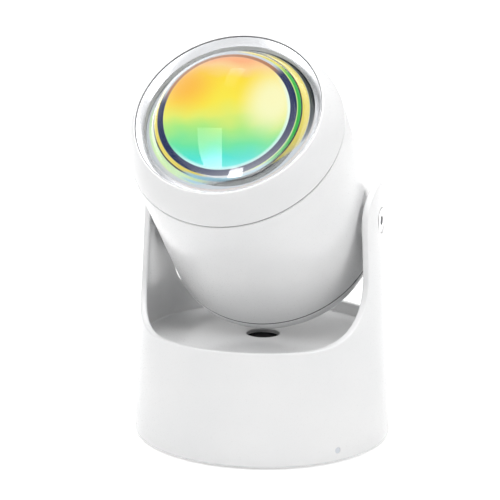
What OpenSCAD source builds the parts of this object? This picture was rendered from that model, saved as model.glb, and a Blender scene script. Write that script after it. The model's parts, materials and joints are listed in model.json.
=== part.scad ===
// Sunset projection lamp: a round weighted base with two ears, and a tilting head between them.
// Millimetres, +Z up. The origin is the point of the table under the middle of the base.
// The tilt axis runs along X, and the head looks towards -Y.

/* [Base] */
// Radius of the base at its lower edge
base_r = 45; // [44:0.5:50]
// Draft angle of the base and ears
base_draft = 2.7; // [1.5:0.1:3.5]
// Wall of the base and ears
base_wall = 2.2; // [2.1:0.1:2.6]
// Height of the base's rim above the table
rim_h = 39.2; // [37:0.2:46]
// How far the deck lies below the rim
deck_recess = 4.6; // [3:0.2:5]
// Thickness of the deck
deck_t = 2; // [1.6:0.2:2.6]
// Half width of an ear, which is also the radius of its round top
ear_half_w = 12.6; // [11:0.2:14]
// Radius of the sweep from an ear down to the rim
ear_sweep_r = 22; // [18:0.5:24]

/* [Head] */
// Angle of the optical axis above the horizontal, as the head rests
head_tilt = 42; // [20:1:60]
// How far the optical axis passes above the tilt axis
head_offset = 1.4; // [0:0.1:2]
// Space between the head and each ear
head_side_gap = 2.2; // [2:0.1:3]
// Least space between the turning head and the deck
swing_gap = 0.6; // [0.5:0.1:2]
// Least space between the level head and the rim
rim_gap = 0.6; // [0.5:0.1:2]
// Length of the barrel ahead of the tilt axis
barrel_front = 45.6; // [44:0.2:50]
// Length of the barrel behind the tilt axis
barrel_rear = 15; // [14:0.2:17]
// How much slimmer the barrel is at its front than at its rear
barrel_taper = 1.3; // [0.8:0.1:1.8]
// Wall of the barrel
barrel_wall = 2; // [1.8:0.1:2.3]
// Length of the bezel ahead of the barrel
bezel_len = 11.8; // [10:0.2:13]
// How far the bezel draws in from the barrel to its front edge
bezel_inset = 5; // [4:0.1:5.6]
// How far the bezel's side bulges
bezel_bulge = 0.6; // [0.3:0.1:1]
// Width of the bezel's front bevel
bevel_w = 3.1; // [2.4:0.1:3.4]
// Depth of the bezel's front bevel
bevel_depth = 2.2; // [1.4:0.1:2.8]
// Depth of the rear cap's dome
cap_depth = 18.4; // [16:0.2:20]
// Wall of the rear cap
cap_wall = 2; // [1.8:0.1:2.4]
// Open seam between two shells
seam_gap = 0.3; // [0.2:0.05:0.4]

/* [Lens and light] */
// Height of the lens's dome
lens_dome_h = 16; // [12:0.5:18]
// Thickness of the lens at its edge
lens_edge_t = 2.4; // [2:0.1:3.6]
// How far the lens's edge lies behind the bevel
lens_set_back = 2.4; // [1.6:0.1:3]
// Height of the lip that holds the lens from the front
lens_lip = 0.8; // [0.6:0.1:1]
// Thickness of the coloured filter disc behind the lens
filter_t = 1.1; // [0.7:0.1:1.4]
// Thickness of the soft ring behind the filter
gasket_t = 1.4; // [1:0.1:2]
// Length of the threaded ring behind the lens
retainer_len = 3.4; // [2.6:0.2:4.2]
// Width of the threaded ring behind the lens
retainer_w = 3.4; // [2.8:0.2:4]
// Wall of the black tube between lens and lamp
tube_wall = 1.6; // [1.2:0.1:2]
// Distance from the lamp board to the gate that gives the light its round edge
gate_ahead = 19; // [17:0.5:20]
// Thickness of the gate's disc
gate_t = 0.8; // [0.5:0.1:1.2]
// Width of the gate's disc around its hole
gate_rim = 7; // [5:0.5:9]
// Width of the ring that carries the gate's disc
gate_wall = 5.5; // [4.5:0.5:6]
// Radius of the collimator's wide end
collimator_r = 11; // [9:0.5:12]
// Length of the collimator
collimator_len = 11; // [9:0.5:12]
// Radius of the lamp's aluminium board
star_r = 10; // [9:0.5:12]
// Thickness of the lamp's aluminium board
star_t = 1.6; // [1:0.2:2]
// Side of the lamp's square chip
chip_w = 7; // [5:0.5:8]
// Height of the lamp's chip
chip_h = 1.1; // [0.7:0.1:1.3]

/* [Heat sink] */
// Distance from the tilt axis to the heat sink's front face
sink_face = 10; // [9:0.5:12]
// Thickness of the heat sink's plate
sink_plate_t = 3; // [2:0.2:3.6]
// Length of the fins
sink_fin_len = 20; // [16:0.5:21]
// Thickness of a fin
sink_fin_t = 1.6; // [1.2:0.1:2]
// Distance from one fin to the next
sink_pitch = 5; // [4:0.5:7]
// Space between the round block of fins and the inner end of the hollow pivot
sink_pivot_gap = 3; // [2.5:0.5:5]

/* [Pivots] */
// Height of the pad on each ear's inner face
ear_pad_h = 1.1; // [0.9:0.1:1.4]
// Radius of the pads on ears and barrel
pad_r = 7; // [6.4:0.2:8]
// Thickness of the friction washers
washer_t = 0.6; // [0.5:0.1:0.9]
// Radius of the friction washers
washer_r = 6; // [5.5:0.1:6.3]
// Radius of the pivot screw's shoulder
shoulder_r = 3; // [2.6:0.1:3.2]
// Radius of the pivot screw's head
screw_head_r = 4.2; // [3.8:0.1:4.6]
// Thickness of the pivot screw's head
screw_head_t = 1.2; // [1:0.1:1.4]
// Radius of the pivot screw's thread
thread_r = 2; // [1.5:0.1:2.2]
// Radius of the brass insert
insert_r = 3.8; // [3.4:0.1:4.2]
// Length of the brass insert
insert_len = 4.6; // [4:0.2:5]
// Outer radius of the hollow pivot
stub_r = 3.6; // [3.2:0.1:3.8]
// Radius of the hollow pivot's wire hole
stub_bore_r = 2.3; // [1.8:0.1:2.5]
// Radius of the hollow pivot's collar
collar_r = 5.2; // [4.8:0.1:5.6]
// Thickness of the hollow pivot's collar
collar_t = 0.8; // [0.6:0.1:1]
// Width across the flats of the hollow pivot's nut
nut_w = 11; // [10:0.5:12]
// Thickness of the hollow pivot's nut
nut_t = 2; // [1.6:0.2:2.6]

/* [Wires] */
// Diameter of one wire
wire_d = 0.7; // [0.5:0.05:0.75]
// Distance between the two wires
wire_pitch = 1.4; // [1.2:0.1:1.8]
// Width of the wire groove in the ear
groove_w = 3.4; // [2.8:0.2:4]
// Width of the strip over the wire groove
strip_w = 6; // [5:0.2:7]
// Thickness of the strip over the wire groove
strip_t = 0.7; // [0.5:0.05:0.75]

/* [Underside] */
// How far the housing stands off the table
foot_stand = 0.8; // [0.6:0.1:1.4]
// Space between the round rubber pad and the heads of the cover's screws
foot_screw_gap = 2.5; // [2:0.5:6]
// Thickness of the rubber pad
foot_t = 1.8; // [1.6:0.1:2.4]
// How far the bottom cover lies inside the housing's lower edge
cover_inset = 0.6; // [0.5:0.1:1]
// Thickness of the bottom cover
cover_t = 2.2; // [2:0.1:2.8]
// Space between the cover's screw posts and the housing's wall, at the deck
post_wall_gap = 1.2; // [0.8:0.1:1.6]
// Radius of the cover's screw posts
post_r = 4; // [3.5:0.1:4.4]
// Space between the steel ballast disc and the screw posts
ballast_gap = 4; // [3:0.5:8]
// Thickness of the steel ballast disc
ballast_t = 5; // [3:0.5:6]
// Distance of the ballast's screws from its edge
ballast_screw_edge = 8; // [6:0.5:12]

/* [Electronics] */
// Width of the control board
board_w = 56; // [52:1:58]
// Depth of the control board
board_d = 40; // [36:1:42]
// Thickness of the control board
board_t = 1.6; // [1:0.2:2]
// Space between the deck's underside and the control board
board_drop = 8.4; // [8:0.2:11]
// Distance of the board's screws from its edges
board_screw_edge = 4; // [3.5:0.25:5]
// Radius of the window in the deck
window_r = 5.8; // [5:0.1:6.5]
// Width of the window's glued flange
window_flange = 1.4; // [1:0.1:2]
// Thickness of the window
window_t = 1.5; // [1:0.1:1.8]
// Radius of the small status light
status_r = 1.05; // [0.8:0.05:1.2]
// Space between the small status light and the bottom cover's top
status_gap = 0.05; // [0.05:0.05:2]
// Direction of the small status light, from the front towards +X
status_angle = 51; // [40:1:60]
// Width of the power inlet
inlet_w = 8.9; // [8.5:0.1:9.5]
// Height of the power inlet
inlet_h = 3.2; // [3:0.1:3.6]
// Depth of the power inlet
inlet_d = 7.4; // [6.5:0.1:9]

/* [Screws and fits] */
// Radius of a small screw's thread
small_thread_r = 1.15; // [0.9:0.05:1.3]
// Radius of a small screw's head
small_head_r = 2.2; // [1.9:0.1:2.5]
// Thickness of a small screw's head
small_head_t = 1.3; // [1:0.1:1.5]
// Length of a small screw's thread
small_thread_len = 6; // [5:0.5:7]
// Radial clearance of a turning pin
run_clearance = 0.05; // [0.03:0.01:0.08]
// Clearance of a piece that slips into another
slip = 0.15; // [0.1:0.01:0.25]
// Clearance between faces that are held together
seat = 0.02; // [0.01:0.01:0.04]
// Radial clearance of a screw in its through hole
through = 0.25; // [0.15:0.05:0.4]

/* [Hidden] */
$fn = 96;
// Depth that a cut runs past a face
over = 1;
// Depth that joined solids of one piece share
merge = 0.4;

// How far the pivots' bosses stand inside the barrel
boss_h = 1.6;
// How deep the pivot screw's head lies in its counterbore
screw_sunk = 0.1;
// How far the pivot screw's shoulder reaches into the barrel, and the hollow pivot into the ear
shoulder_reach = 0.6;
stub_reach = 1.6;
// Room around the hollow pivot's outer end, where the wires turn down
stub_pocket_room = 1.2;
// How far the hollow pivot stands out of its nut
stub_past_nut = 1;
// Room over the wires in the ear's groove
wire_slack = 0.1;
// Room between the barrel and the heat sink's plate
sink_slack = 0.6;
// Room between the barrel and the flange of the tube
flange_slack = 0.2;

// Share of the rear cap's radius that is flat
cap_flat = 0.22;
// Step of the angle at which the cap's reach is looked up
reach_step = 2;

// Heights in the base
deck_z = rim_h - deck_recess;
deck_under = deck_z - deck_t;
cover_z = foot_stand + cover_inset;
cover_top = cover_z + cover_t;
status_z = cover_top + status_r + status_gap;
board_z = deck_under - board_drop;
board_top = board_z + board_t;

// The shells are cones: outer radius at a height, and the inner one
function out_r(z) = base_r - (z - foot_stand) * tan(base_draft);
function in_r(z) = out_r(z) - base_wall;

// The head's radii follow the space between the ears. Its height leaves it room to turn over the
// deck and the rim. Both depend a little on each other through the draft, so the space is taken
// at a first height, which is within a millimetre of the last.
first_pivot_z = deck_z + base_r - base_wall;
barrel_rear_r = in_r(first_pivot_z) - head_side_gap;
barrel_front_r = barrel_rear_r - barrel_taper;
swing_r = max([for (a = [0 : reach_step : 90]) norm([head_offset
    + barrel_rear_r * (cap_flat + (1 - cap_flat) * cos(a)), barrel_rear + cap_depth * sin(a)])]);
pivot_z = max(deck_z + swing_r + swing_gap, rim_h + barrel_front_r + head_offset + rim_gap);
ear_top = pivot_z + ear_half_w;

// Radii under the base
post_c = in_r(deck_z) - post_r - post_wall_gap;
foot_r = post_c - small_head_r - through - foot_screw_gap;
ballast_r = post_c - post_r - ballast_gap;
ballast_screw_c = ballast_r - ballast_screw_edge;

// Barrel radius at a station of the head, 0 at the tilt axis and positive to the front
function barrel_r(s) = barrel_rear_r
    - (s + barrel_rear) * barrel_taper / (barrel_rear + barrel_front);

// Stations of the head
bezel_front = barrel_front + bezel_len;
bezel_edge_r = barrel_front_r - bezel_inset;
bezel_bore_r = bezel_edge_r - bevel_w;
bevel_back = bezel_front - bevel_depth;
lens_front = bevel_back - lens_set_back;
lens_back = lens_front - lens_edge_t;
lens_cell_r = bezel_bore_r + lens_lip;
lens_r = lens_cell_r - slip;
lens_dome_r = bezel_bore_r - slip;
lens_sphere_r = (lens_dome_r * lens_dome_r + lens_dome_h * lens_dome_h) / (2 * lens_dome_h);
filter_back = lens_back - filter_t;
gasket_back = filter_back - gasket_t;
retainer_back = gasket_back - retainer_len;
tube_r = lens_r;
tube_front = retainer_back - seam_gap;
tube_bore_r = tube_r - tube_wall;
// The bezel's spigot, which slips into the barrel
spigot_len = 6;
spigot_r = barrel_front_r - barrel_wall - slip;
// The tube's flange, which is clamped on the barrel's ledge by the heat sink's screws
tube_flange_t = 1.6;
tube_flange_r = spigot_r - flange_slack;
ledge_t = 2;
ledge_front = sink_face + ledge_t;
ledge_bore_r = tube_r + slip;
sink_plate_r = barrel_r(0) - barrel_wall - slip - sink_slack;
sink_back = sink_face - sink_plate_t;
sink_screw_c = (ledge_bore_r + sink_plate_r) / 2;
star_front = sink_face + star_t;
gate_back = sink_face + gate_ahead;
gate_r = tube_bore_r - slip - gate_wall;
gate_hole_r = gate_r - gate_rim;
// The rear cap's spigot, which snaps into the barrel, and the shelf that carries it
cap_spigot_len = 5;
cap_spigot_t = 1.6;
cap_shelf_t = 1.5;
cap_spigot_r = barrel_r(cap_spigot_len - barrel_rear) - barrel_wall - slip;

// Stations of the pivots along X
ear_out_x = out_r(pivot_z);
ear_in_x = in_r(pivot_z);
ear_pad_x = ear_in_x - ear_pad_h;
barrel_pad_x = ear_pad_x - washer_t - 2 * seat;
barrel_in_x = barrel_r(0) - barrel_wall;
barrel_boss_x = barrel_in_x - boss_h;
screw_seat_x = ear_out_x - screw_head_t - screw_sunk;
shoulder_end_x = barrel_pad_x - shoulder_reach;
groove_depth = strip_t + wire_d + wire_slack;
groove_x = ear_in_x + groove_depth;
stub_out_x = ear_pad_x + stub_reach;
stub_in_x = barrel_boss_x - nut_t - stub_past_nut;
stub_pocket_r = stub_r + stub_pocket_room;
sink_r = stub_in_x - sink_pivot_gap;

// Turns a shape drawn in (Y, Z) into a bar along X
module bar_along_x(len) {
    rotate([90, 0, 90])
        linear_extrude(len, center = true)
            children();
}

// A cylinder along +X that starts at a station
module rod_x(x, len, r) {
    translate([x, 0, 0])
        rotate([0, 90, 0])
            cylinder(h = len, r = r);
}

// Places what is drawn along the optical axis
module on_head() {
    translate([0, 0, pivot_z])
        rotate([90 - head_tilt, 0, 0])
            translate([0, head_offset, 0])
                children();
}

// Places what is drawn on the tilt axis, with the head's own tilt
module on_pivot() {
    translate([0, 0, pivot_z])
        rotate([90 - head_tilt, 0, 0])
            children();
}

// A ring about Z
module ring(z, len, r_out, r_in) {
    translate([0, 0, z])
        difference() {
            cylinder(h = len, r = r_out);
            translate([0, 0, -over])
                cylinder(h = len + 2 * over, r = r_in);
        }
}

// A cone about Z between two heights whose radius follows the base's draft
module draft_cone(z0, z1, inset) {
    translate([0, 0, z0])
        cylinder(h = z1 - z0, r1 = out_r(z0) - inset, r2 = out_r(z1) - inset);
}

// A small pan-head screw that points down from z = 0
module small_screw() {
    recess_r = small_head_r / 2;
    difference() {
        union() {
            cylinder(h = small_head_t, r = small_head_r);
            translate([0, 0, -small_thread_len])
                cylinder(h = small_thread_len + merge, r = small_thread_r);
        }
        translate([0, 0, small_head_t / 2])
            cylinder(h = small_head_t, r = recess_r, $fn = 6);
    }
}

// ---- Base ----

// Outline of base and ears, seen along X
module side_outline() {
    sweep_c = ear_half_w + ear_sweep_r;
    translate([-base_r - over, foot_stand])
        square([2 * (base_r + over), rim_h - foot_stand]);
    translate([-ear_half_w, rim_h - merge])
        square([2 * ear_half_w, pivot_z - rim_h + merge]);
    translate([0, pivot_z])
        circle(ear_half_w);
    difference() {
        translate([-sweep_c, rim_h - merge])
            square([2 * sweep_c, ear_sweep_r + merge]);
        for (side = [-1, 1])
            translate([side * sweep_c, rim_h + ear_sweep_r])
                circle(ear_sweep_r);
    }
}

// Directions of the cover's screw posts, which keep clear of the board, the inlet and the wires
post_angles = [20, 160, 270];

module at_posts() {
    for (a = post_angles)
        rotate([0, 0, a])
            translate([post_c, 0, 0])
                children();
}

// Places of the board's screws
module at_board_screws() {
    for (x = [-1, 1])
        for (y = [-1, 1])
            translate([x * (board_w / 2 - board_screw_edge), y * (board_d / 2 - board_screw_edge), 0])
                children();
}

// Places a shape drawn along +X so that it points out at the status light
module at_status() {
    translate([0, 0, status_z])
        rotate([0, 0, status_angle - 90])
            children();
}

// A bar that follows the left ear's inner face, from station depth_in to depth_out in the wall
module ear_bar(z0, z1, width, depth_in, depth_out) {
    translate([-in_r(z0), 0, z0])
        rotate([0, base_draft, 0])
            translate([-depth_out, -width / 2, 0])
                cube([depth_out - depth_in, width, (z1 - z0) / cos(base_draft)]);
}

// The power inlet, the space around it in the wall, and the shallow recess for a plug's grip
inlet_z = board_top + inlet_h / 2;
inlet_cut = 0.3;
inlet_recess_w = 12.4;
inlet_recess_h = 6.8;
inlet_recess_d = 1;
inlet_y = in_r(inlet_z) - inlet_d + base_wall - inlet_recess_d;

// A slot with round ends across the rear wall, drawn in (X, Z)
module inlet_slot(w, h, y, len) {
    translate([0, y, inlet_z])
        rotate([-90, 0, 0])
            linear_extrude(len)
                union() {
                    square([w - h, h], center = true);
                    for (side = [-1, 1])
                        translate([side * (w - h) / 2, 0])
                            circle(h / 2);
                }
}

// How far the groove's cut reaches inside the wall's curved face
groove_skim = 0.2;

module base_housing() {
    color("white")
        difference() {
            union() {
                intersection() {
                    difference() {
                        draft_cone(foot_stand, ear_top + over, 0);
                        difference() {
                            draft_cone(foot_stand - over, ear_top + 2 * over, base_wall);
                            translate([0, 0, deck_under])
                                cylinder(h = deck_t, r = base_r);
                        }
                    }
                    bar_along_x(2 * base_r + over)
                        side_outline();
                }
                intersection() {
                    translate([0, 0, pivot_z])
                        for (side = [0, 180])
                            rotate([0, 0, side])
                                rod_x(ear_pad_x, ear_out_x - ear_pad_x - base_wall / 2, pad_r);
                    draft_cone(rim_h, ear_top, base_wall / 2);
                }
                at_posts()
                    translate([0, 0, cover_top + seat])
                        cylinder(h = deck_under - cover_top - seat + merge, r = post_r);
                at_board_screws()
                    translate([0, 0, board_top + seat])
                        cylinder(h = deck_under - board_top - seat + merge, r = board_screw_edge - slip);
            }
            at_posts()
                translate([0, 0, cover_top - over])
                    cylinder(h = small_thread_len + over, r = small_thread_r);
            at_board_screws()
                translate([0, 0, board_top - over])
                    cylinder(h = small_thread_len + over, r = small_thread_r);
            translate([0, 0, deck_under - over])
                cylinder(h = deck_t + 2 * over, r = window_r);
            at_status()
                rod_x(in_r(foot_stand) - 2 * over, base_wall + 4 * over, status_r);
            inlet_slot(inlet_w + 2 * inlet_cut, inlet_h + 2 * inlet_cut, inlet_y, base_r);
            inlet_slot(inlet_recess_w, inlet_recess_h, out_r(inlet_z) - inlet_recess_d, base_r);
            translate([0, 0, pivot_z]) {
                rod_x(ear_pad_x - over, ear_out_x, shoulder_r + run_clearance);
                rod_x(screw_seat_x, base_r, screw_head_r + slip);
                mirror([1, 0, 0])
                    rod_x(ear_pad_x - over, stub_out_x + over - ear_pad_x, stub_r + run_clearance);
                mirror([1, 0, 0])
                    rod_x(stub_out_x - merge, groove_x - stub_out_x + merge, stub_pocket_r);
            }
            ear_bar(board_top, pivot_z, groove_w, -groove_skim, groove_depth);
            ear_bar(deck_z, pivot_z - pad_r - slip, strip_w, -over, strip_t);
        }
}

module sensor_window() {
    color([0.02, 0.02, 0.02])
        union() {
            translate([0, 0, deck_under - seat - window_t / 2 - gasket_gap])
                cylinder(h = window_t / 2, r = window_r + window_flange);
            translate([0, 0, deck_under - seat - window_t / 2])
                cylinder(h = window_t, r = window_r - slip);
        }
}

// Foam tape ring that holds the window under the deck, and its thickness
gasket_gap = 0.2;

module window_gasket() {
    color([0.1, 0.1, 0.1])
        ring(deck_under - seat - gasket_gap, gasket_gap, window_r + window_flange, window_r + seat);
}

module status_light() {
    color([0.9, 0.92, 0.95])
        at_status()
            intersection() {
                rod_x(in_r(status_z) - status_stand_in, base_wall + status_stand_in, status_r - seat);
                translate([0, 0, -status_z])
                    draft_cone(foot_stand, rim_h, status_sunk);
            }
}

// How far the status light stands inside the wall, and how far it lies under the outer face
status_stand_in = 0.4;
status_sunk = 0.15;
// The small lamp behind it: half of its length is a square block, half a round nose
status_led_len = 2;
status_led_w = 3;
status_led_h = 2.2;

module status_led() {
    led_x = in_r(status_z) - status_stand_in - seat - status_led_len;
    color([0.95, 0.95, 0.9])
        at_status()
            union() {
                rod_x(led_x + status_led_len / 2, status_led_len / 2, status_r - seat);
                translate([led_x, -status_led_w / 2, cover_top + seat - status_z])
                    cube([status_led_len / 2 + merge, status_led_w, status_led_h]);
            }
}

module bottom_cover() {
    color([0.85, 0.85, 0.86])
        difference() {
            translate([0, 0, cover_z])
                cylinder(h = cover_t, r = in_r(cover_top) - slip);
            at_posts()
                translate([0, 0, cover_z - over])
                    cylinder(h = cover_t + 2 * over, r = small_thread_r + through);
            at_posts()
                translate([0, 0, cover_z - over])
                    cylinder(h = small_head_t + over, r = small_head_r + through);
            at_ballast_screws()
                translate([0, 0, cover_z - over])
                    cylinder(h = cover_t + 2 * over, r = small_thread_r);
            translate([0, 0, cover_z - over])
                cylinder(h = foot_t - cover_z + over, r = foot_r + slip);
        }
}

module cover_screws() {
    color("silver")
        at_posts()
            translate([0, 0, cover_z + small_head_t])
                rotate([180, 0, 0])
                    small_screw();
}

module rubber_pad() {
    color([0.16, 0.16, 0.17])
        cylinder(h = foot_t - seat, r = foot_r);
}

module at_ballast_screws() {
    for (side = [-1, 1])
        translate([side * ballast_screw_c, 0, 0])
            children();
}

module ballast() {
    color([0.55, 0.56, 0.58])
        difference() {
            translate([0, 0, cover_top + seat])
                cylinder(h = ballast_t, r = ballast_r);
            at_ballast_screws()
                translate([0, 0, cover_top - over])
                    cylinder(h = ballast_t + 2 * over, r = small_thread_r + through);
        }
}

module ballast_screws() {
    color("silver")
        at_ballast_screws()
            translate([0, 0, cover_top + ballast_t + 2 * seat])
                small_screw();
}

module control_board() {
    color([0.05, 0.35, 0.2])
        difference() {
            union() {
                translate([-board_w / 2, -board_d / 2, board_z])
                    cube([board_w, board_d, board_t]);
                translate([-tongue_w / 2, 0, board_z])
                    cube([tongue_w, board_d / 2 + board_tongue, board_t]);
            }
            at_board_screws()
                translate([0, 0, board_z - over])
                    cylinder(h = board_t + 2 * over, r = small_thread_r + through);
        }
}

// The board's tongue, which reaches back under the power inlet and ends short of its mouth
inlet_past_board = 2;
board_tongue = inlet_y + inlet_d - inlet_past_board - board_d / 2;
tongue_w = inlet_w + 2 * inlet_past_board;

module board_screws() {
    color("silver")
        at_board_screws()
            translate([0, 0, board_z - seat])
                rotate([180, 0, 0])
                    small_screw();
}

// Two chips and a choke, as the nearest corner and the size of each block on the board
chip_blocks = [[[8, -14], [9, 9, 1.2]], [[-20, 5], [7, 6, 1.2]], [[10, 8], [6, 6, 3]]];
// The two round capacitors
capacitor_places = [[-17, -12], [-9, -12]];
capacitor_r = 2.5;
capacitor_h = 5;
// The wire socket, and its distance from the board's edge
socket_d = 4;
socket_w = 5;
socket_h = 3;
socket_edge = 1;

module board_parts() {
    color([0.15, 0.15, 0.16])
        for (block = chip_blocks)
            translate([block[0][0], block[0][1], board_top + seat])
                cube(block[1]);
    color([0.8, 0.8, 0.82])
        for (place = capacitor_places)
            translate([place[0], place[1], board_top + seat])
                cylinder(h = capacitor_h, r = capacitor_r);
    color("ivory")
        translate([-board_w / 2 + socket_edge, -socket_w / 2, board_top + seat])
            cube([socket_d, socket_w, socket_h]);
}

// The receiver's block, its round eye, and the room between the eye and the window
ir_w = 6;
ir_d = 4;
ir_eye_r = 1.6;
ir_eye_h = 1;
ir_room = 1.4;

module ir_receiver() {
    window_under = deck_under - seat - window_t / 2 - gasket_gap;
    block_h = window_under - board_top - seat - ir_room - ir_eye_h;
    color([0.1, 0.1, 0.12])
        translate([0, 0, board_top + seat])
            union() {
                translate([-ir_w / 2, -ir_d / 2, 0])
                    cube([ir_w, ir_d, block_h]);
                translate([0, 0, block_h - merge])
                    cylinder(h = merge + ir_eye_h, r = ir_eye_r);
            }
}

// The inlet's sheet shell, its closed back, and the tongue inside it
inlet_shell_t = 0.3;
inlet_back_t = 1;
inlet_tongue_t = 0.7;
inlet_tongue_side = 1.2;

module power_inlet() {
    blade_w = inlet_w - 2 * inlet_tongue_side;
    color("silver")
        union() {
            difference() {
                inlet_slot(inlet_w, inlet_h - 2 * seat, inlet_y, inlet_d);
                inlet_slot(inlet_w - 2 * inlet_shell_t, inlet_h - 2 * inlet_shell_t,
                    inlet_y + inlet_back_t, inlet_d);
            }
            translate([-blade_w / 2, inlet_y + inlet_back_t - merge, inlet_z - inlet_tongue_t / 2])
                cube([blade_w, inlet_d - inlet_back_t, inlet_tongue_t]);
        }
}

module wire_strip() {
    color("white")
        ear_bar(deck_z + seat, pivot_z - pad_r - 2 * slip, strip_w - 2 * slip,
            seat, strip_t - seat);
}

// Centre of a wire in the ear's groove: its distance from the wall's inner face
groove_wire_in = strip_t + wire_d / 2 + seat;
// Height of the wires as they leave the board's socket
socket_wire_z = board_top + socket_h / 2;

// A wire's bend, as a ball
module wire_bend() {
    sphere(wire_d / 2);
}

// Two wires from the board's socket, across under the deck and up the groove in the left ear
module base_wires() {
    start_x = -board_w / 2 + socket_edge - seat;
    bend_x = -in_r(socket_wire_z) - groove_wire_in;
    rise = (pivot_z - stub_pocket_r - socket_wire_z) / cos(base_draft);
    for (side = [-1, 1])
        color(side < 0 ? "red" : [0.1, 0.1, 0.1])
            translate([bend_x, side * wire_pitch / 2, socket_wire_z])
                union() {
                    wire_bend();
                    rod_x(0, start_x - bend_x, wire_d / 2);
                    rotate([0, base_draft, 0])
                        cylinder(h = rise, r = wire_d / 2);
                }
}

module friction_washers() {
    color([0.2, 0.2, 0.2])
        translate([0, 0, pivot_z]) {
            difference() {
                rod_x(ear_pad_x - seat - washer_t, washer_t, washer_r);
                rod_x(0, base_r, shoulder_r + run_clearance);
            }
            mirror([1, 0, 0])
                difference() {
                    rod_x(ear_pad_x - seat - washer_t, washer_t, washer_r);
                    rod_x(0, base_r, stub_r + run_clearance);
                }
        }
}

// ---- Head ----

module head_barrel() {
    color("white")
        difference() {
            union() {
                on_head()
                    difference() {
                        translate([0, 0, -barrel_rear])
                            cylinder(h = barrel_rear + barrel_front,
                                r1 = barrel_rear_r, r2 = barrel_front_r);
                        difference() {
                            translate([0, 0, -barrel_rear - over])
                                cylinder(h = barrel_rear + barrel_front + 2 * over,
                                    r1 = barrel_r(-barrel_rear - over) - barrel_wall,
                                    r2 = barrel_r(barrel_front + over) - barrel_wall);
                            ring(sink_face, ledge_t, base_r, ledge_bore_r);
                        }
                    }
                on_pivot()
                    for (side = [0, 180])
                        rotate([0, 0, side])
                            rod_x(barrel_boss_x, barrel_pad_x - barrel_boss_x, pad_r);
            }
            on_pivot() {
                rod_x(barrel_boss_x - over, shoulder_end_x - barrel_boss_x + over, insert_r + seat);
                rod_x(barrel_boss_x, barrel_pad_x, shoulder_r + run_clearance);
                mirror([1, 0, 0]) {
                    rod_x(barrel_boss_x - over, barrel_pad_x, stub_r + seat);
                    rod_x(barrel_pad_x - collar_t, barrel_pad_x, collar_r + slip);
                }
            }
            on_head()
                at_sink_screws()
                    translate([0, 0, sink_face - over])
                        cylinder(h = ledge_t + 2 * over, r = small_thread_r);
        }
}

// Directions of the heat sink's screws around the optical axis
sink_screw_angles = [30, 150, 270];

module at_sink_screws() {
    for (a = sink_screw_angles)
        rotate([0, 0, a])
            translate([sink_screw_c, 0, 0])
                children();
}

// Centre and radius of the arc that bulges the bezel's side
bezel_chord = norm([bezel_inset, bezel_len]);
bezel_arc_r = (bezel_chord * bezel_chord / 4 + bezel_bulge * bezel_bulge) / (2 * bezel_bulge);

module front_bezel() {
    mid = [(barrel_front_r + bezel_edge_r) / 2, (barrel_front + bezel_front) / 2];
    inward = [-bezel_len, -bezel_inset] / bezel_chord;
    centre = mid + inward * (bezel_arc_r - bezel_bulge);
    color("white")
        on_head()
            rotate_extrude()
                difference() {
                    union() {
                        intersection() {
                            translate(centre)
                                circle(bezel_arc_r);
                            translate([lens_cell_r, barrel_front + seam_gap])
                                square([barrel_front_r, bezel_len - seam_gap]);
                        }
                        translate([bezel_bore_r, lens_front])
                            square([lens_cell_r - bezel_bore_r + merge, bezel_front - lens_front]);
                        translate([lens_cell_r, barrel_front - spigot_len])
                            square([spigot_r - lens_cell_r, spigot_len + bezel_bulge]);
                    }
                    polygon([[bezel_bore_r - over, bevel_back], [bezel_bore_r, bevel_back],
                        [bezel_edge_r, bezel_front], [bezel_edge_r, bezel_front + over],
                        [bezel_bore_r - over, bezel_front + over]]);
                    translate([0, barrel_front - spigot_len - over])
                        square([lens_cell_r, lens_front - barrel_front + spigot_len + over]);
                }
}

module lens() {
    color([0.7, 0.9, 1, 0.4])
        on_head()
            rotate_extrude()
                union() {
                    translate([0, lens_back])
                        square([lens_r, lens_edge_t - seat]);
                    intersection() {
                        translate([0, lens_front + lens_dome_h - lens_sphere_r])
                            circle(lens_sphere_r);
                        translate([0, lens_back])
                            square([lens_dome_r, lens_edge_t + lens_dome_h + over]);
                    }
                }
}

module lens_gasket() {
    color([0.1, 0.1, 0.1])
        on_head()
            translate([0, 0, gasket_back + gasket_t / 2])
                rotate_extrude()
                    translate([lens_r - gasket_t / 2 - slip, 0])
                        circle(gasket_t / 2 - seat, $fn = 32);
}

module lens_retainer() {
    color([0.12, 0.12, 0.12])
        on_head()
            ring(retainer_back, retainer_len, lens_r, lens_r - retainer_w);
}

module optical_tube() {
    color([0.06, 0.06, 0.06])
        on_head()
            difference() {
                union() {
                    translate([0, 0, star_front + seat])
                        cylinder(h = tube_front - star_front - seat, r = tube_r);
                    translate([0, 0, ledge_front + seat])
                        cylinder(h = tube_flange_t, r = tube_flange_r);
                }
                translate([0, 0, star_front - over])
                    cylinder(h = tube_front - star_front + 2 * over, r = tube_bore_r);
                at_sink_screws()
                    translate([0, 0, ledge_front - over])
                        cylinder(h = tube_flange_t + 2 * over, r = small_thread_r);
            }
}

module colour_filter() {
    color([1, 0.55, 0.15, 0.6])
        on_head()
            translate([0, 0, filter_back + seat])
                cylinder(h = filter_t - 2 * seat, r = lens_r);
}

// The gate's seat, the ring in front of it, and how far both reach over its edge
gate_seat_t = 1.6;
gate_ring_t = 1.4;
gate_lip = 1.5;

module gate_holder() {
    color([0.1, 0.1, 0.1])
        on_head()
            difference() {
                ring(gate_back - gate_seat_t, gate_seat_t + gate_t + gate_ring_t,
                    tube_bore_r - slip, gate_r - gate_lip);
                translate([0, 0, gate_back])
                    cylinder(h = gate_t + gate_ring_t + over, r = gate_r + slip);
            }
}

module gate_disc() {
    color([0.2, 0.2, 0.21])
        on_head()
            ring(gate_back + seat, gate_t - 2 * seat, gate_r, gate_hole_r);
}

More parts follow.
